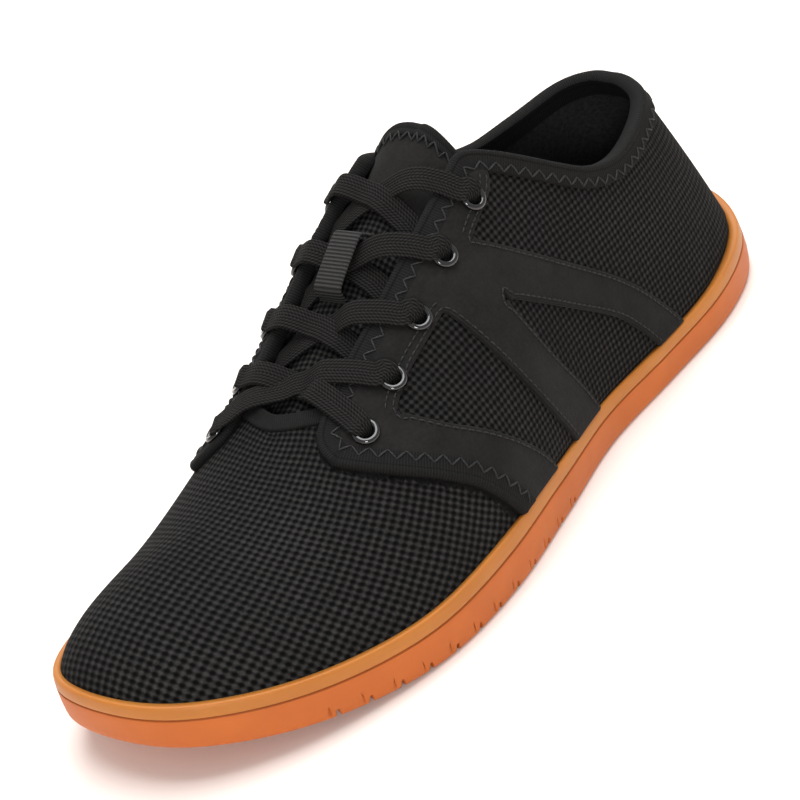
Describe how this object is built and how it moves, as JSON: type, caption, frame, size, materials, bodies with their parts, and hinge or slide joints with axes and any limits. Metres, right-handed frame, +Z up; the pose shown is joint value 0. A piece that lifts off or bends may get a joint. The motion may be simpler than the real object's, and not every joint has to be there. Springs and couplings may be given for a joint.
{
  "type": "barefoot shoe",
  "caption": "Low lace-up barefoot shoe for the left foot: mesh upper with strapped overlays, bound collar, tongue, flat laces and a thin flexible cup sole.",
  "frame": {"origin": "middle of the bounding box, on the ground under the sole", "axes": "+X from heel to toe, +Y to the outer side of the foot, +Z up"},
  "size_m": [0.2958, 0.105, 0.1095],
  "materials": {
    "gum": "moulded gum rubber, satin",
    "knit": "coarse open mesh, matt",
    "nubuck": "napped, matt, charcoal",
    "tape": "ribbed elastic tape",
    "lining": "smooth dark lining",
    "cord": "flat braided lace",
    "enamel": "gloss black"
  },
  "bodies": {
    "root": {"outsole": "gum", "insole": "lining", "upper": "knit", "overlay_outer": "nubuck", "overlay_inner": "nubuck", "binding": "tape", "tongue": "nubuck", "tongue_loop": "tape", "lace_1": "cord", "lace_2": "cord", "lace_3": "cord", "lace_4": "cord", "eyelet_outer_1": "enamel", "eyelet_outer_2": "enamel", "eyelet_outer_3": "enamel", "eyelet_outer_4": "enamel", "eyelet_outer_5": "enamel", "eyelet_inner_1": "enamel", "eyelet_inner_2": "enamel", "eyelet_inner_3": "enamel", "eyelet_inner_4": "enamel", "eyelet_inner_5": "enamel"}
  },
  "joints": []
}
